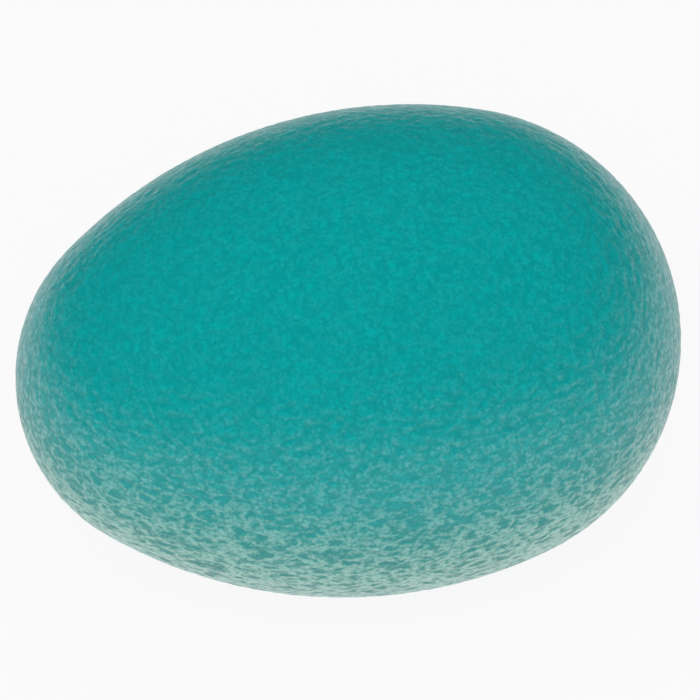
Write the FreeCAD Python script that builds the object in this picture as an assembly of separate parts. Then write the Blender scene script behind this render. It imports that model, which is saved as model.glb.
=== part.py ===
import FreeCAD, Part
import math
import os

from FreeCAD import Vector

# A squeeze egg for grip training, lying on its side. Millimetres, +Z up, +X towards the blunt end.
# The origin is under the middle of the egg's length, on the flat that it rests on.

# Outline of the egg: two round caps and one flank arc that touches both
egg_length = 61.8
egg_diameter = 45.0
blunt_cap_drop = 0.95      # the blunt cap's radius is half the diameter less this
narrow_cap_drop = 5.85     # the same for the narrow cap
rest_flat_depth = 0.5      # the soft underside sits flat on a table by this much

# Moulded skin, thickened inside by a collar round its filling port
skin_wall = 2.0
port_radius = 3.0
collar_wall = 3.0          # rubber round the port
collar_height = 2.2        # from the collar's foot on the wall to its face
collar_bevel = 0.5

# Mushroom plug: a flush head in a counterbored seat, a stem, and a flange behind the collar
head_overlap = 2.4         # the head reaches this far past the port all round
head_rim = 0.9             # thickness of the head at its edge
flange_overlap = 1.2       # the flange reaches this far past the port all round
flange_rim = 0.7
flange_bevel = 1.4         # lead-in that lets the flange be pushed through the port
edge_break = 0.2           # bevel on the outer edges of the seat and the head

# Clearances
plug_clearance = 0.06
gel_clearance = 0.2

# The skin's inner wall and the gel are out of sight, so each of their curves is turned in straight
# steps of at most this angle. The steps lie inside the curve, so no wall is under its size.
hidden_step = math.radians(15)

# What follows from the sizes above
half_diameter = egg_diameter / 2
axis_height = half_diameter - rest_flat_depth
blunt_radius = half_diameter - blunt_cap_drop
narrow_radius = half_diameter - narrow_cap_drop
blunt_pole_x = egg_length / 2
narrow_pole_x = -egg_length / 2
blunt_centre_x = blunt_pole_x - blunt_radius
narrow_centre_x = narrow_pole_x + narrow_radius

# The flank arc touches both caps from inside. Tangency gives a quadratic for the distance
# from the egg's widest place to the blunt cap's centre.
centre_gap = blunt_centre_x - narrow_centre_x
quad_a = 1 / blunt_cap_drop - 1 / narrow_cap_drop
quad_b = 2 * centre_gap / narrow_cap_drop
quad_c = narrow_cap_drop - blunt_cap_drop - centre_gap ** 2 / narrow_cap_drop
widest_to_blunt = -2 * quad_c / (quad_b + math.sqrt(quad_b ** 2 - 4 * quad_a * quad_c))
widest_x = blunt_centre_x - widest_to_blunt
flank_radius = (widest_to_blunt ** 2 / blunt_cap_drop + blunt_radius + half_diameter) / 2
flank_centre_r = half_diameter - flank_radius
blunt_touch = math.atan2(-flank_centre_r, blunt_centre_x - widest_x)
narrow_touch = math.atan2(-flank_centre_r, narrow_centre_x - widest_x)

seat_radius = port_radius + head_overlap
seat_floor_x = blunt_centre_x + math.sqrt(blunt_radius ** 2 - seat_radius ** 2) - head_rim
collar_radius = port_radius + collar_wall
inner_blunt_radius = blunt_radius - skin_wall
collar_foot_x = blunt_centre_x + math.sqrt(inner_blunt_radius ** 2 - collar_radius ** 2)
collar_face_x = collar_foot_x - collar_height
flange_shoulder_x = collar_face_x - plug_clearance
flange_tip_x = flange_shoulder_x - flange_rim - flange_bevel


def at(x, r):
    # a point of the half section: x along the egg's axis, r away from it
    return Vector(x, 0, axis_height + r)


def outline(inset):
    # the egg's arcs from the blunt pole to the narrow one, moved inwards: centre, radius, angles
    return [
        ((blunt_centre_x, 0), blunt_radius - inset, 0, blunt_touch),
        ((widest_x, flank_centre_r), flank_radius - inset, blunt_touch, narrow_touch),
        ((narrow_centre_x, 0), narrow_radius - inset, narrow_touch, math.pi),
    ]


def on_arc(centre, radius, angle):
    return at(centre[0] + radius * math.cos(angle), centre[1] + radius * math.sin(angle))


def smooth(centre, radius, angle_from, angle_to):
    angles = (angle_from, (angle_from + angle_to) / 2, angle_to)
    return Part.Arc(*[on_arc(centre, radius, angle) for angle in angles]).toShape()


def stepped(centre, radius, angle_from, angle_to):
    count = math.ceil((angle_to - angle_from) / hidden_step)
    turn = (angle_to - angle_from) / count
    points = [on_arc(centre, radius, angle_from + turn * i) for i in range(count + 1)]
    return Part.makePolygon(points)


def egg(inset, side):
    # a solid egg that lies the inset deep in the outer one, with its own flat underside
    sides = [side(*piece) for piece in outline(inset)]
    axis = Part.makeLine(at(narrow_pole_x + inset, 0), at(blunt_pole_x - inset, 0))
    half_section = Part.Face(Part.Wire(sides + [axis]))
    solid = half_section.revolve(at(0, 0), Vector(1, 0, 0), 360)
    reach = egg_length + egg_diameter
    below = Part.makeBox(2 * reach, 2 * reach, reach, Vector(-reach, -reach, inset - reach))
    return solid.cut(below)


def stub(radius, tip_x, end_x, bevel, grow):
    # a rod along the axis with its inner end bevelled, grown all round to leave a gap
    leg = bevel + grow * (2 - math.sqrt(2))
    points = [
        at(tip_x - grow, 0),
        at(tip_x - grow, radius + grow - leg),
        at(tip_x - grow + leg, radius + grow),
        at(end_x, radius + grow),
        at(end_x, 0),
        at(tip_x - grow, 0),
    ]
    return Part.Face(Part.makePolygon(points)).revolve(at(0, 0), Vector(1, 0, 0), 360)


def rod(radius, x_from, x_to):
    return Part.makeCylinder(radius, x_to - x_from, at(x_from, 0), Vector(1, 0, 0))


def room(gap):
    # the skin's cavity, with the collar standing into it; a gap makes it smaller all round
    collar = stub(collar_radius, collar_face_x, egg_length, collar_bevel, gap)
    return egg(skin_wall + gap, stepped).cut(collar)


def flange(grow):
    return stub(port_radius + flange_overlap, flange_tip_x, flange_shoulder_x, flange_bevel, grow)


def edge_broken(solid, radius):
    # bevels the circular edge of this radius that lies nearest to the blunt pole
    edges = [edge for edge in solid.Edges if not edge.Degenerated]
    circles = [edge for edge in edges if isinstance(edge.Curve, Part.Circle)]
    same_size = [edge for edge in circles if abs(edge.Curve.Radius - radius) < 1e-6]
    outermost = max(same_size, key=lambda edge: edge.CenterOfMass.x)
    return solid.makeChamfer(edge_break, [outermost])


def skin():
    seat = rod(seat_radius, seat_floor_x, egg_length)
    port = rod(port_radius, widest_x, seat_floor_x)
    return edge_broken(egg(0, smooth).cut(room(0)).cut(seat).cut(port), seat_radius)


def gel_core():
    return room(gel_clearance).cut(flange(gel_clearance))


def fill_plug():
    head_radius = seat_radius - plug_clearance
    head_floor_x = seat_floor_x + plug_clearance
    head = rod(head_radius, head_floor_x, egg_length).common(egg(0, smooth))
    stem = rod(port_radius - plug_clearance, flange_shoulder_x, head_floor_x)
    return edge_broken(head, head_radius).fuse([stem, flange(0)])


os.makedirs("parts", exist_ok=True)
pieces = {"skin": skin(), "gel_core": gel_core(), "fill_plug": fill_plug()}
for name, shape in pieces.items():
    solid = shape.Solids[0]
    print(name, "solids", len(shape.Solids), "valid", solid.isValid(), "cm3", round(solid.Volume / 1000, 3))
    solid.exportStep("parts/" + name + ".step")
print("egg", egg_length, "x", egg_diameter, "flank radius", round(flank_radius, 2), "widest at x", round(widest_x, 2))
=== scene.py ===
import math

import bpy
import bmesh
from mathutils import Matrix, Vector


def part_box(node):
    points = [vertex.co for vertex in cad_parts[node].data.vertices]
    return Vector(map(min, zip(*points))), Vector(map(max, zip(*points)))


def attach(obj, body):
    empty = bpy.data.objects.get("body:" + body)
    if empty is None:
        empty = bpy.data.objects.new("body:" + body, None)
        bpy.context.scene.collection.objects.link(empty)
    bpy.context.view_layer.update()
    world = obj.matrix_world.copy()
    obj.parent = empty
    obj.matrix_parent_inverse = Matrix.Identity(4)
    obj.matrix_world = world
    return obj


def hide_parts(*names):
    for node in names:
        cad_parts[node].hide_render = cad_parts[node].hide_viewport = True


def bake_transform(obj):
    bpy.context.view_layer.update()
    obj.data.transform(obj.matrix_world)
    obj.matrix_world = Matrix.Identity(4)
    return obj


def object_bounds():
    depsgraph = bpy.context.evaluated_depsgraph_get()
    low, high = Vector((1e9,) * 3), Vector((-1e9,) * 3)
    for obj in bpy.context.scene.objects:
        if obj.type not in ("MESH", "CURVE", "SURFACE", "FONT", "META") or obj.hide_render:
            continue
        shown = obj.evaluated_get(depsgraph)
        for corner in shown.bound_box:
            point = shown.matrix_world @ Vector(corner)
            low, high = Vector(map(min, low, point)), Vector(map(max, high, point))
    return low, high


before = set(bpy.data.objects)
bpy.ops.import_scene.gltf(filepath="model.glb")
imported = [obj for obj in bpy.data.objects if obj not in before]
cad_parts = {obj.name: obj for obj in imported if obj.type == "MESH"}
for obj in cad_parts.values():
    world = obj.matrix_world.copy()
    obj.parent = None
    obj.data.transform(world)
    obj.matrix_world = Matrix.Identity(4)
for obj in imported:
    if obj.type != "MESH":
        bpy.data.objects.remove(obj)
cadLow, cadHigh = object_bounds()
mm = 0.001


# Small tools

def hexColour(text):
    # an sRGB hex colour as linear RGBA
    parts = [int(text[i:i + 2], 16) / 255 for i in (1, 3, 5)]
    linear = [c / 12.92 if c <= 0.04045 else ((c + 0.055) / 1.055) ** 2.4 for c in parts]
    return (*linear, 1)


def addNode(tree, kind, settings=None, inputs=None):
    # one node; an input is a socket to link, a node whose first output is linked, or a value to hold
    node = tree.nodes.new(kind)
    for name, value in (settings or {}).items():
        setattr(node, name, value)
    for name, value in (inputs or {}).items():
        if isinstance(value, bpy.types.Node):
            value = value.outputs[0]
        if isinstance(value, bpy.types.NodeSocket):
            tree.links.new(value, node.inputs[name])
        else:
            node.inputs[name].default_value = value
    return node


def addObject(name, mesh):
    obj = bpy.data.objects.new(name, mesh)
    bpy.context.scene.collection.objects.link(obj)
    return obj


def settled(obj, name):
    # what the modifiers make, as a plain mesh under the piece's name
    bpy.context.view_layer.update()
    graph = bpy.context.evaluated_depsgraph_get()
    mesh = bpy.data.meshes.new_from_object(obj.evaluated_get(graph))
    bpy.data.objects.remove(obj)
    mesh.name = name
    return addObject(name, mesh)


def carved(obj, name, cuts=(), within=()):
    # takes the cuts away and keeps only what lies within the others
    for operation, tools in (("DIFFERENCE", cuts), ("INTERSECT", within)):
        for tool in tools:
            step = obj.modifiers.new(tool.name, "BOOLEAN")
            step.operation = operation
            step.solver = "MANIFOLD"
            step.object = tool
    done = settled(obj, name)
    for tool in (*cuts, *within):
        bpy.data.objects.remove(tool)
    return done


# The egg

# The egg's outline: two round caps and a flank arc that touches both
egg = {
    "length": cadHigh.x - cadLow.x,
    "diameter": cadHigh.y - cadLow.y,
    "restDepth": 0.5 * mm,         # how far the soft underside sits flat
    "arcSteps": 256,               # points along each arc of the outline
    "bluntCapDrop": 0.95 * mm,     # half the diameter less the blunt cap's radius
    "narrowCapDrop": 5.85 * mm,    # the same for the narrow cap
}

# The pebbled grain of the mould: coarse pebbles in the mesh, finer ones in the material
grain = {
    "pebble": 0.74 * mm,           # from one pebble to the next
    "height": 0.025 * mm,          # from crease to crown
    "fall": -4.0,                  # a crown is 1 high in its middle and 0 half a pebble away
    "seed": 3.0,
}


def eggArcs():
    # the caps and the flank from the blunt pole on: centre x, centre r, radius, first angle, last angle
    half = egg["diameter"] / 2
    blunt, narrow = egg["bluntCapDrop"], egg["narrowCapDrop"]
    bluntX = egg["length"] / 2 - (half - blunt)
    narrowX = (half - narrow) - egg["length"] / 2
    gap = bluntX - narrowX
    a = 1 / blunt - 1 / narrow
    b = 2 * gap / narrow
    c = narrow - blunt - gap ** 2 / narrow
    toBlunt = -2 * c / (b + math.sqrt(b ** 2 - 4 * a * c))
    flankX = bluntX - toBlunt
    flankRadius = (toBlunt ** 2 / blunt + (half - blunt) + half) / 2
    flankR = half - flankRadius
    bluntTouch = math.atan2(-flankR, bluntX - flankX)
    narrowTouch = math.atan2(-flankR, narrowX - flankX)
    return {
        "Blunt": (bluntX, 0, half - blunt, 0, bluntTouch),
        "Flank": (flankX, flankR, flankRadius, bluntTouch, narrowTouch),
        "Narrow": (narrowX, 0, half - narrow, narrowTouch, math.pi),
    }


arcs = eggArcs()
axisHeight = egg["diameter"] / 2 - egg["restDepth"]
bluntPole = egg["length"] / 2


def eggTree():
    # a cube of squares, blown up into the egg, pebbled and set down flat
    tree = bpy.data.node_groups.new("pebbledEgg", "GeometryNodeTree")
    sockets = [("Cells", "Int"), ("Inset", "Float"), ("Axis Height", "Float"), ("Rest Level", "Float")]
    sockets += [("Pebble Size", "Float"), ("Pebble Height", "Float"), ("Seed", "Float")]
    for arc in arcs:
        sockets += [(arc + " Centre", "Vector"), (arc + " Radius", "Float")]
        sockets += [(arc + " From", "Float"), (arc + " Sweep", "Float")]
    sockets += [("Material", "Material")]
    for name, kind in sockets:
        tree.interface.new_socket(name, in_out="INPUT", socket_type="NodeSocket" + kind)
    tree.interface.new_socket("Geometry", in_out="OUTPUT", socket_type="NodeSocketGeometry")
    given = addNode(tree, "NodeGroupInput").outputs

    # the outline: each arc where its centre is, the radius less the inset
    outline = addNode(tree, "GeometryNodeJoinGeometry")
    for arc in reversed(arcs):
        curve = addNode(tree, "GeometryNodeCurveArc", {"mode": "RADIUS"}, {
            "Resolution": egg["arcSteps"],
            "Radius": addNode(tree, "ShaderNodeMath", {"operation": "SUBTRACT"}, {
                0: given[arc + " Radius"],
                1: given["Inset"],
            }),
            "Start Angle": given[arc + " From"],
            "Sweep Angle": given[arc + " Sweep"],
        })
        placed = addNode(tree, "GeometryNodeTransform", inputs={
            "Geometry": curve,
            "Translation": given[arc + " Centre"],
        })
        tree.links.new(placed.outputs["Geometry"], outline.inputs["Geometry"])

    # the cube's squares, spread evenly over a ball
    edge = addNode(tree, "ShaderNodeMath", {"operation": "ADD"}, {0: given["Cells"], 1: 1})
    cube = addNode(tree, "GeometryNodeMeshCube", inputs={
        "Size": (2, 2, 2),
        "Vertices X": edge,
        "Vertices Y": edge,
        "Vertices Z": edge,
    })
    spot = addNode(tree, "GeometryNodeInputPosition")
    eighth = addNode(tree, "ShaderNodeVectorMath", {"operation": "MULTIPLY"}, {
        0: spot,
        1: (math.pi / 4,) * 3,
    })
    evened = addNode(tree, "ShaderNodeVectorMath", {"operation": "TANGENT"}, {0: eighth})
    way = addNode(tree, "ShaderNodeVectorMath", {"operation": "NORMALIZE"}, {0: evened})
    sidePart = addNode(tree, "ShaderNodeVectorMath", {"operation": "MULTIPLY"}, {0: way, 1: (0, 1, 1)})
    around = addNode(tree, "ShaderNodeVectorMath", {"operation": "NORMALIZE"}, {0: sidePart})

    # the angle from the blunt pole says how far along the outline a point lies
    along = addNode(tree, "ShaderNodeSeparateXYZ", inputs={0: way}).outputs["X"]
    angle = addNode(tree, "ShaderNodeMath", {"operation": "ARCCOSINE"}, {0: along})
    share = addNode(tree, "ShaderNodeMath", {"operation": "DIVIDE"}, {0: angle, 1: math.pi})
    sample = addNode(tree, "GeometryNodeSampleCurve", {"mode": "FACTOR", "use_all_curves": True}, {
        "Curves": outline,
        "Factor": share,
    })
    found = addNode(tree, "ShaderNodeSeparateXYZ", inputs={0: sample.outputs["Position"]}).outputs
    offAxis = addNode(tree, "ShaderNodeVectorMath", {"operation": "SCALE"}, {0: around, "Scale": found["Y"]})
    onAxis = addNode(tree, "ShaderNodeCombineXYZ", inputs={"X": found["X"], "Z": given["Axis Height"]})
    blown = addNode(tree, "GeometryNodeSetPosition", inputs={
        "Geometry": cube,
        "Position": addNode(tree, "ShaderNodeVectorMath", {"operation": "ADD"}, {0: offAxis, 1: onAxis}),
    })

    # pebbles: round crowns with creases between them
    cell = addNode(tree, "ShaderNodeTexVoronoi", {"feature": "F1"}, {
        "Vector": addNode(tree, "ShaderNodeVectorMath", {"operation": "ADD"}, {0: spot, 1: given["Seed"]}),
        "Scale": addNode(tree, "ShaderNodeMath", {"operation": "DIVIDE"}, {0: 1, 1: given["Pebble Size"]}),
    })
    fromCrown = addNode(tree, "ShaderNodeMath", {"operation": "POWER"}, {0: cell.outputs["Distance"], 1: 2})
    crown = addNode(tree, "ShaderNodeMath", {"operation": "MULTIPLY_ADD"}, {
        0: fromCrown,
        1: grain["fall"],
        2: 1,
    })
    lift = addNode(tree, "ShaderNodeMath", {"operation": "MULTIPLY"}, {0: crown, 1: given["Pebble Height"]})
    pebbled = addNode(tree, "GeometryNodeSetPosition", inputs={
        "Geometry": blown,
        "Offset": addNode(tree, "ShaderNodeVectorMath", {"operation": "SCALE"}, {
            0: addNode(tree, "GeometryNodeInputNormal"),
            "Scale": lift,
        }),
    })

    # nothing hangs below the level that the underside rests on
    here = addNode(tree, "ShaderNodeSeparateXYZ", inputs={0: spot}).outputs
    lowest = addNode(tree, "ShaderNodeMath", {"operation": "MAXIMUM"}, {0: here["Z"], 1: given["Rest Level"]})
    rested = addNode(tree, "GeometryNodeSetPosition", inputs={
        "Geometry": pebbled,
        "Position": addNode(tree, "ShaderNodeCombineXYZ", inputs={
            "X": here["X"],
            "Y": here["Y"],
            "Z": lowest,
        }),
    })
    smooth = addNode(tree, "GeometryNodeSetShadeSmooth", inputs={"Geometry": rested})
    real = addNode(tree, "GeometryNodeRealizeInstances", inputs={"Geometry": smooth})
    finished = addNode(tree, "GeometryNodeSetMaterial", inputs={
        "Geometry": real,
        "Material": given["Material"],
    })
    addNode(tree, "NodeGroupOutput", inputs={"Geometry": finished})
    return tree


def eggSolid(name, tree, material, cells, inset=0.0, pebbleHeight=0.0, seed=0.0):
    # one egg from the tree, as a plain mesh
    obj = addObject(name, bpy.data.meshes.new(name))
    step = obj.modifiers.new("egg", "NODES")
    step.node_group = tree
    values = {
        "Cells": cells,
        "Inset": inset,
        "Axis Height": axisHeight,
        "Rest Level": inset,
        "Pebble Size": grain["pebble"],
        "Pebble Height": pebbleHeight,
        "Seed": seed,
        "Material": material,
    }
    for arc, (x, r, radius, first, last) in arcs.items():
        values[arc + " Centre"] = (x, r, 0.0)
        values[arc + " Radius"] = radius
        values[arc + " From"] = float(first)
        values[arc + " Sweep"] = last - first
    for item in tree.interface.items_tree:
        if item.in_out == "INPUT":
            step[item.identifier] = values[item.name]
    return settled(obj, name)


turnSteps = 128                    # flats round a turned piece


def turned(name, points, material):
    # spins a half section of (x, r) points round the egg's axis
    shape = bmesh.new()
    corners = [shape.verts.new((x, 0, axisHeight + r)) for x, r in points]
    edges = [shape.edges.new(pair) for pair in zip(corners, corners[1:])]
    bmesh.ops.spin(
        shape, geom=corners + edges, cent=(0, 0, axisHeight), axis=(1, 0, 0), angle=math.tau, steps=turnSteps
    )
    bmesh.ops.remove_doubles(shape, verts=shape.verts, dist=0.001 * mm)
    bmesh.ops.recalc_face_normals(shape, faces=shape.faces)
    mesh = bpy.data.meshes.new(name)
    shape.to_mesh(mesh)
    shape.free()
    mesh.materials.append(material)
    return addObject(name, mesh)


# The skin, with a collar round its filling port, and the mushroom plug that closes it

skinShape = {
    "cells": 124,                  # squares along each edge of the cube that becomes the egg
    "roomCells": 24,               # the same for the hidden inner wall
    "wall": 2.0 * mm,
    "portRadius": 3.0 * mm,
    "collarWall": 3.0 * mm,        # rubber round the port, on the inside
    "collarHeight": 2.2 * mm,      # from the collar's foot on the wall to its face
    "collarBevel": 0.5 * mm,
    "edgeBreak": 0.2 * mm,         # bevel on the outer edges of the seat and the head
    "giveBefore": 10 * mm,         # how far past the narrow pole the squeeze starts to give
}

plugShape = {
    "headRadius": (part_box("fill_plug")[1].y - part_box("fill_plug")[0].y) / 2,
    "headRim": 0.9 * mm,           # thickness of the head at its edge
    "flangeOverlap": 1.2 * mm,     # how far the flange reaches past the port
    "flangeRim": 0.7 * mm,
    "flangeBevel": 1.4 * mm,       # lead-in that lets the flange through the port
    "clearance": 0.06 * mm,
    "firmAhead": 0.6 * mm,         # so far before the flange all of the skin goes with the plug
    "seed": 11.0,                  # its face has pebbles of its own
}


def surfaceX(radius):
    # where the blunt cap's outside is, this far from the axis
    centreX, _, capRadius = arcs["Blunt"][:3]
    return centreX + math.sqrt(capRadius ** 2 - radius ** 2)


collarRadius = skinShape["portRadius"] + skinShape["collarWall"]
innerCap = arcs["Blunt"][2] - skinShape["wall"]
collarFoot = arcs["Blunt"][0] + math.sqrt(innerCap ** 2 - collarRadius ** 2)
collarFace = collarFoot - skinShape["collarHeight"]
seatRadius = plugShape["headRadius"] + plugShape["clearance"]
seatFloor = surfaceX(seatRadius) - plugShape["headRim"]
flangeShoulder = collarFace - plugShape["clearance"]
flangeTip = flangeShoulder - plugShape["flangeRim"] - plugShape["flangeBevel"]
outside = bluntPole + 2 * mm       # clear of the blunt end, for what is cut away there


def stub(name, radius, tip, end, bevel, grow, material):
    # a rod on the axis with a bevelled inner end, grown all round
    leg = bevel + grow * (2 - math.sqrt(2))
    points = [
        (tip - grow, 0),
        (tip - grow, radius + grow - leg),
        (tip - grow + leg, radius + grow),
        (end, radius + grow),
        (end, 0),
    ]
    return turned(name, points, material)


def collar(grow, material):
    # the rubber round the port, through to the outside
    return stub("collar", collarRadius, collarFace, outside, skinShape["collarBevel"], grow, material)


def flange(grow, material):
    # the plug's inner end, behind the collar
    radius = skinShape["portRadius"] + plugShape["flangeOverlap"]
    return stub("flange", radius, flangeTip, flangeShoulder, plugShape["flangeBevel"], grow, material)


def makeSkin(tree, material):
    # a closed shell: the pebbled egg less the room for the gel, the port and the plug's seat
    room = eggSolid("room", tree, material, skinShape["roomCells"], inset=skinShape["wall"])
    room = carved(room, "room", cuts=[collar(0, material)])
    bevel = skinShape["edgeBreak"]
    mouth = surfaceX(seatRadius)
    seat = turned("seat", [
        (collarFace - bevel, 0),
        (collarFace - bevel, skinShape["portRadius"]),
        (seatFloor, skinShape["portRadius"]),
        (seatFloor, seatRadius),
        (mouth - bevel, seatRadius),
        (mouth + bevel, seatRadius + 2 * bevel),
        (outside, seatRadius + 2 * bevel),
        (outside, 0),
    ], material)
    whole = eggSolid(
        "whole", tree, material, skinShape["cells"], pebbleHeight=grain["height"], seed=grain["seed"]
    )
    return carved(whole, "gel_egg_skin", cuts=[seat, room])


coreShape = {
    "cells": 40,
    "clearance": 0.2 * mm,         # from the skin and the plug
}


def makeCore(tree, material):
    # the gel fills the room, clear of the wall, the collar and the plug's flange
    gap = coreShape["clearance"]
    whole = eggSolid("whole", tree, material, coreShape["cells"], inset=skinShape["wall"] + gap)
    return carved(whole, "gel_filling", cuts=[collar(gap, material), flange(gap, material)])


def makePlug(tree, material):
    # a turned mushroom whose head is cut off along the egg's own outside, so that it lies flush
    head = plugShape["headRadius"]
    bevel = skinShape["edgeBreak"]
    flangeRadius = skinShape["portRadius"] + plugShape["flangeOverlap"]
    stemRadius = skinShape["portRadius"] - plugShape["clearance"]
    headFloor = seatFloor + plugShape["clearance"]
    rim = surfaceX(head)
    blank = turned("blank", [
        (flangeTip, 0),
        (flangeTip, flangeRadius - plugShape["flangeBevel"]),
        (flangeTip + plugShape["flangeBevel"], flangeRadius),
        (flangeShoulder, flangeRadius),
        (flangeShoulder, stemRadius),
        (headFloor, stemRadius),
        (headFloor, head),
        (rim - bevel, head),
        (rim + bevel, head - 2 * bevel),
        (outside, head - 2 * bevel),
        (outside, 0),
    ], material)
    face = eggSolid(
        "face", tree, material, skinShape["cells"], pebbleHeight=grain["height"], seed=plugShape["seed"]
    )
    return carved(blank, "filling_plug", within=[face])


# Materials

def elastomer(name, look):
    # Moulded thermoplastic elastomer: a soft satin surface with a thin wet-looking gloss, light carried
    # a little way under it, and the mould's grain, with painted shade between the pebbles. Low down,
    # pale streaks of painted highlight stand for the light that the wet-looking grain catches there, over
    # painted shade between them.
    material = bpy.data.materials.new(name)
    material.use_nodes = True
    tree = material.node_tree
    tree.nodes.clear()
    place = addNode(tree, "ShaderNodeTexCoord").outputs["Object"]

    # the grain's relief: a fine ripple under round crowns of two sizes
    relief = addNode(tree, "ShaderNodeTexNoise", inputs={
        "Vector": place,
        "Scale": 1 / look["ripple"],
        "Detail": 2.0,
    })
    relief = addNode(tree, "ShaderNodeMath", {"operation": "MULTIPLY"}, {0: relief, 1: look["rippleHeight"]})
    shifted = addNode(tree, "ShaderNodeVectorMath", {"operation": "ADD"}, {0: place, 1: (look["seed"],) * 3})
    crowns = []
    for size, height in look["grain"]:
        cell = addNode(tree, "ShaderNodeTexVoronoi", {"feature": "F1"}, {
            "Vector": shifted,
            "Scale": 1 / size,
        })
        fromCrown = addNode(tree, "ShaderNodeMath", {"operation": "POWER"}, {
            0: cell.outputs["Distance"],
            1: 2,
        })
        crown = addNode(tree, "ShaderNodeMath", {"operation": "MULTIPLY_ADD"}, {
            0: fromCrown,
            1: grain["fall"],
            2: 1,
        })
        relief = addNode(tree, "ShaderNodeMath", {"operation": "MULTIPLY_ADD"}, {
            0: crown,
            1: height,
            2: relief,
        })
        crowns.append(crown)
    coarse, fine = crowns

    # height above the table, where a place towards either end counts as lower
    at = addNode(tree, "ShaderNodeSeparateXYZ", inputs={0: place}).outputs
    aside = addNode(tree, "ShaderNodeMath", {"operation": "ABSOLUTE"}, {0: at["X"]})
    level = addNode(tree, "ShaderNodeMath", {"operation": "MULTIPLY_ADD"}, {
        0: aside,
        1: -look["endsRise"],
        2: at["Z"],
    })

    # the relief is shallow on top and crisp low down; the gloss follows all of it, the body a part
    crispness = addNode(tree, "ShaderNodeMapRange", {"interpolation_type": "SMOOTHSTEP"}, {
        "Value": level,
        "From Min": look["shallowAbove"],
        "From Max": look["crispBelow"],
        "To Min": look["shallowRelief"],
        "To Max": 1.0,
    })
    relief = addNode(tree, "ShaderNodeMath", {"operation": "MULTIPLY"}, {0: relief, 1: crispness})
    glossNormal = addNode(tree, "ShaderNodeBump", inputs={"Distance": 1.0, "Height": relief})
    bodyNormal = addNode(tree, "ShaderNodeBump", inputs={
        "Strength": look["bodyShare"],
        "Distance": 1.0,
        "Height": relief,
    })

    # moulded colour: slow clouds of two near shades, with painted shade deeper in the creases
    cloud = addNode(tree, "ShaderNodeTexNoise", inputs={
        "Vector": place,
        "Scale": 1 / look["cloud"],
        "Detail": 1.0,
    })
    ground = addNode(tree, "ShaderNodeMix", {"data_type": "RGBA"}, {
        "Factor": cloud,
        6: hexColour(look["colour"]),
        7: hexColour(look["colourCloud"]),
    })
    crownSum = addNode(tree, "ShaderNodeMath", {"operation": "MULTIPLY_ADD"}, {
        0: fine,
        1: look["fineShare"],
        2: coarse,
    })
    crease = addNode(tree, "ShaderNodeMapRange", inputs={
        "Value": crownSum,
        "From Min": look["creases"][0],
        "From Max": look["creases"][1],
    })
    moulded = addNode(tree, "ShaderNodeMix", {"data_type": "RGBA"}, {
        "Factor": crease,
        6: ground.outputs[2],
        7: hexColour(look["colourCreaseShade"]),
    })

    # painted highlights as streaks: the lines where a noise, drawn out along the egg, is at its middle value,
    # broken by crowns
    drawnOut = addNode(tree, "ShaderNodeVectorMath", {"operation": "MULTIPLY"}, {
        0: place,
        1: look["drawnOut"],
    })
    wave = addNode(tree, "ShaderNodeTexNoise", inputs={
        "Vector": drawnOut,
        "Scale": 1 / look["streak"],
        "Detail": 1.0,
    })
    fromMiddle = addNode(tree, "ShaderNodeMath", {"operation": "SUBTRACT"}, {0: wave, 1: 0.5})
    offLine = addNode(tree, "ShaderNodeMath", {"operation": "ABSOLUTE"}, {0: fromMiddle})
    broken = addNode(tree, "ShaderNodeMath", {"operation": "MULTIPLY"}, {0: crownSum, 1: look["broken"]})
    lines = addNode(tree, "ShaderNodeMath", {"operation": "MULTIPLY_ADD"}, {
        0: offLine,
        1: -look["thinness"],
        2: broken,
    })

    # they close up lower down, and carry both the pale painted highlight colour and the gloss; the gaps carry
    # painted shade
    low = addNode(tree, "ShaderNodeMapRange", {"interpolation_type": "SMOOTHSTEP"}, {
        "Value": level,
        "From Min": look["streaksBelow"],
        "From Max": look["streaksMost"],
    })
    closed = addNode(tree, "ShaderNodeMath", {"operation": "ADD"}, {0: low, 1: lines})
    paintedHighlightShare = addNode(tree, "ShaderNodeMapRange", {"interpolation_type": "SMOOTHSTEP"}, {
        "Value": closed,
        "From Min": look["streakEdge"][0],
        "From Max": look["streakEdge"][1],
    })
    gloss = addNode(tree, "ShaderNodeMapRange", {"interpolation_type": "SMOOTHSTEP"}, {
        "Value": closed,
        "From Min": look["streakEdge"][0],
        "From Max": look["streakEdge"][1],
        "To Min": look["coat"][0],
        "To Max": look["coat"][1],
    })
    paintedLightBand = addNode(tree, "ShaderNodeMix", {"data_type": "RGBA"}, {
        "Factor": paintedHighlightShare,
        6: hexColour(look["colourPaintedShade"]),
        7: hexColour(look["colourPaintedHighlight"]),
    })
    tint = addNode(tree, "ShaderNodeMix", {"data_type": "RGBA"}, {
        "Factor": low,
        6: moulded.outputs[2],
        7: paintedLightBand.outputs[2],
    })
    shader = addNode(tree, "ShaderNodeBsdfPrincipled", inputs={
        "Base Color": tint.outputs[2],
        "Roughness": look["roughness"],
        "IOR": look["ior"],
        "Subsurface Weight": look["subsurface"],
        "Subsurface Radius": (1, 1, 1),
        "Subsurface Scale": look["scatter"],
        "Coat Weight": gloss,
        "Coat Roughness": look["coatRoughness"],
        "Coat IOR": look["coatIor"],
        "Normal": bodyNormal,
        "Coat Normal": glossNormal,
    })
    addNode(tree, "ShaderNodeOutputMaterial", inputs={"Surface": shader})
    return material


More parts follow.
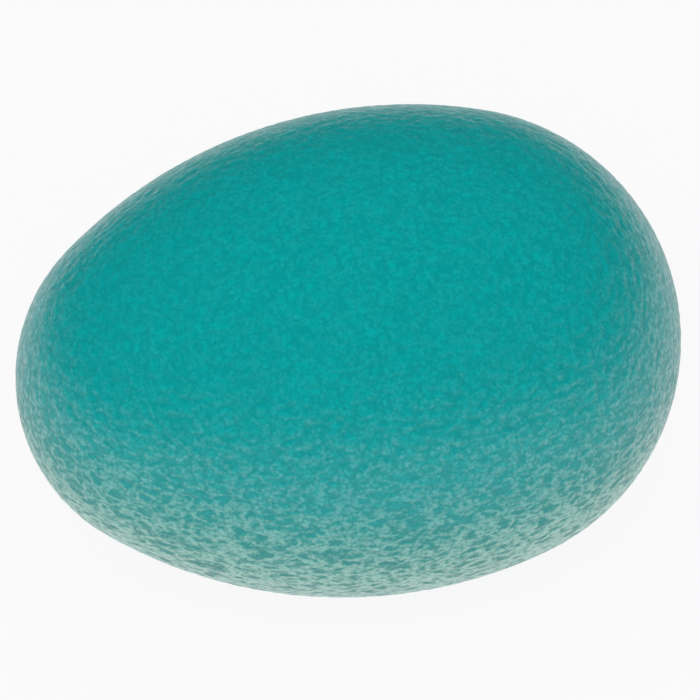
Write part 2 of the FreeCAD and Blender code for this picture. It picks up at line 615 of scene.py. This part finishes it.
skinLook = {
    "colour": "#02AFB0",           # moulded teal, drifting slowly to the next shade
    "colourCloud": "#02ACA9",
    "colourCreaseShade": "#029B9B",       # painted shade in the creases
    # painted highlight: the pale streaks low down
    "colourPaintedHighlight": "#82D2C0",
    "colourPaintedShade": "#089690",        # painted shade between the streaks
    "cloud": 12 * mm,              # from one drift to the next
    "seed": grain["seed"],
    "grain": [                     # pebble size and height in the bump, on top of the mesh's own
        (grain["pebble"], 0.06 * mm),
        (0.36 * mm, 0.04 * mm),
    ],
    "fineShare": 1.5,              # how much more the small crowns count for colour
    "creases": (2.0, -1.5),        # sum of the crowns' heights where the painted crease shade is none and all
    "ripple": 0.25 * mm,           # fine unevenness over the pebbles
    "rippleHeight": 0.04 * mm,
    "endsRise": 0.1,               # height taken off for each metre from the middle of the egg
    "shallowAbove": 29 * mm,       # the relief is shallow above this height
    "shallowRelief": 0.28,         # its share there
    "crispBelow": 14 * mm,         # and whole below this height
    "bodyShare": 0.3,              # how much of the relief shades the body under the gloss
    "streaksBelow": 26 * mm,       # streaks start below this height
    "streaksMost": 9.5 * mm,       # and are densest below this one
    "streak": 1.0 * mm,            # from one streak to the next, before it is drawn out
    "drawnOut": (0.6, 0.6, 0.95),  # under 1 draws them out, here least upwards
    "thinness": 10.0,              # of the streaks
    "broken": 0.3,                 # how much the crowns break them up
    "streakEdge": (-1.5, 1.35),    # far apart, so that streaks fade into the gaps
    "coat": (0.05, 1.0),           # gloss between the streaks and on them
    "coatIor": 2.2,                # over rubber's own 1.5, matched to the bright wet look
    "coatRoughness": 0.34,
    "roughness": 0.35,             # satin
    "ior": 1.45,
    "subsurface": 0.3,
    "scatter": 0.3 * mm,           # how far light goes under the surface
}

# the plug is moulded of the same rubber, and its pebbles don't run on from the skin's
plugLook = {**skinLook, "seed": plugShape["seed"]}

# the cast gel is a deeper teal, out of sight inside the skin
coreLook = {**skinLook, "colour": "#058C88", "colourCloud": "#048884", "colourCreaseShade": "#04827C"}


def plainStudio():
    # soft lamps light at the level where a colour renders as written, in a grey room
    world = bpy.data.worlds.new("studio")
    bpy.context.scene.world = world
    world.use_nodes = True
    tree = world.node_tree
    tree.nodes.clear()
    room = addNode(tree, "ShaderNodeBackground", inputs={"Color": hexColour(studio["room"])})
    addNode(tree, "ShaderNodeOutputWorld", inputs={"Surface": room})
    for name, (strength, spread, source) in studio["lamps"].items():
        lamp = bpy.data.objects.new(name, bpy.data.lights.new(name, "SUN"))
        lamp.data.energy = strength * math.pi
        lamp.data.angle = math.radians(spread)
        lamp.rotation_euler = Vector(source).to_track_quat("Z", "Y").to_euler()
        lamp.visible_glossy = False
        lamp.data.cycles.use_multiple_importance_sampling = False
        bpy.context.scene.collection.objects.link(lamp)

    # a pale sweep with a painted pool of light round the egg, falling off to grey away from it
    floor = bpy.data.materials.new("paperSweep")
    floor.use_nodes = True
    tree = floor.node_tree
    tree.nodes.clear()
    place = addNode(tree, "ShaderNodeTexCoord").outputs["Object"]
    far = addNode(tree, "ShaderNodeVectorMath", {"operation": "DISTANCE"}, {
        0: place,
        1: studio["lightPoolCentre"],
    }).outputs["Value"]
    fade = addNode(tree, "ShaderNodeMapRange", {"interpolation_type": "SMOOTHSTEP"}, {
        "Value": far,
        "From Min": studio["lightPoolWithin"],
        "From Max": studio["greyBeyond"],
    })
    colour = addNode(tree, "ShaderNodeMix", {"data_type": "RGBA"}, {
        "Factor": fade.outputs[0],
        6: hexColour(studio["paper"]),
        7: hexColour(studio["greyOutsidePool"]),
    })
    paint = addNode(tree, "ShaderNodeBsdfDiffuse", inputs={"Color": hexColour(studio["board"])})
    glow = addNode(tree, "ShaderNodeEmission", inputs={"Color": colour.outputs[2]})
    ray = addNode(tree, "ShaderNodeLightPath").outputs
    mirrored = addNode(tree, "ShaderNodeMath", {"operation": "MAXIMUM"}, {
        0: ray["Is Glossy Ray"],
        1: ray["Is Transmission Ray"],
    })
    seen = addNode(tree, "ShaderNodeMath", {"operation": "MAXIMUM"}, {0: ray["Is Camera Ray"], 1: mirrored})
    share = addNode(tree, "ShaderNodeMath", {"operation": "MULTIPLY"}, {0: seen, 1: studio["whiteness"]})
    sweep = addNode(tree, "ShaderNodeMixShader", inputs={0: share, 1: paint, 2: glow})
    addNode(tree, "ShaderNodeOutputMaterial", inputs={"Surface": sweep})
    shape = bmesh.new()
    bmesh.ops.create_circle(shape, cap_ends=True, radius=studio["floorRadius"], segments=studio["floorSides"])
    mesh = bpy.data.meshes.new("floor")
    shape.to_mesh(mesh)
    shape.free()
    mesh.materials.append(floor)
    addObject("floor", mesh)


# in metres where it isn't a colour or a share
studio = {
    "lamps": {                     # strength, spread in degrees, where it shines from
        "dome": (0.45, 150, (0, 0, 1)),
        "key": (0.55, 40, (-0.25, -0.75, 0.95)),
    },
    "room": "#3C3C3C",             # all round above the floor
    "board": "#DEDEDE",            # the floor's paint, which takes the shadow and throws light back
    "paper": "#FDFDFD",            # the floor as the eye and the gloss see it, near the egg, in the painted pool of light
    "greyOutsidePool": "#8C8C8C",         # and far from it, outside the painted pool of light
    "lightPoolCentre": (0.008, 0.034, 0.0),
    "lightPoolWithin": 0.07,            # metres from the centre of the painted pool of light
    "greyBeyond": 0.32,
    "whiteness": 0.93,             # share of the floor that shows as plain colour, the rest as paint
    "floorRadius": 12.0,
    "floorSides": 96,
}

shot = {
    "yaw": 13.0,                   # the egg's axis is turned from the picture's plane by this
    "elevation": 40.0,
    "distance": 0.45,
    "pixelsPerMetre": 10848,       # at the egg's middle
    "picture": 700,
    "middle": (349.0, 354.9),      # pixel where the egg's middle falls
    "sensor": 36.0,                # millimetres wide
}


def makeCamera():
    # the photograph's camera: from in front and above, aimed so that the egg falls where it does there
    yaw, elevation = math.radians(shot["yaw"]), math.radians(shot["elevation"])
    level = math.cos(elevation)
    look = Vector((math.sin(yaw) * level, math.cos(yaw) * level, -math.sin(elevation)))
    turn = look.to_track_quat("-Z", "Y")
    right, up = turn @ Vector((1, 0, 0)), turn @ Vector((0, 1, 0))
    off = (shot["picture"] / 2 - shot["middle"][0]) / shot["pixelsPerMetre"]
    lift = (shot["middle"][1] - shot["picture"] / 2) / shot["pixelsPerMetre"]
    aim = Vector((0, 0, axisHeight)) + right * off + up * lift
    data = bpy.data.cameras.new("camera")
    data.sensor_width = shot["sensor"]
    data.lens = shot["pixelsPerMetre"] * shot["distance"] * shot["sensor"] / shot["picture"]
    data.clip_start = 0.01
    camera = bpy.data.objects.new("camera", data)
    camera.rotation_mode = "QUATERNION"
    camera.rotation_quaternion = turn
    camera.location = aim - look * shot["distance"]
    bpy.context.scene.collection.objects.link(camera)
    bpy.context.scene.camera = camera


makeCamera()
plainStudio()
print("camera and studio are set")

rubber = elastomer("mouldedElastomerSkin", skinLook)
plugRubber = elastomer("mouldedElastomerPlug", plugLook)
gel = elastomer("castGel", coreLook)
tree = eggTree()
skin = makeSkin(tree, rubber)
print("skin", len(skin.data.polygons), "faces")
core = makeCore(tree, gel)
print("core", len(core.data.polygons), "faces")
plug = makePlug(tree, plugRubber)
print("plug", len(plug.data.polygons), "faces")

sharpFrom = math.radians(60)       # bends over this stay crisp: the rims of the seat and the head
for piece in (skin, core, plug):
    piece.data.shade_smooth()
    piece.data.set_sharp_from_angle(angle=sharpFrom)

# the skin and the gel keep the place they were built in, and their CAD nodes are hidden
for piece, node, name in ((skin, "skin", "skin_elastomer"), (core, "gel_core", "filling_gel")):
    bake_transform(piece)
    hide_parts(node)
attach(plug, "plug")
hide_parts("fill_plug")

bpy.context.scene.view_settings.view_transform = "Standard"
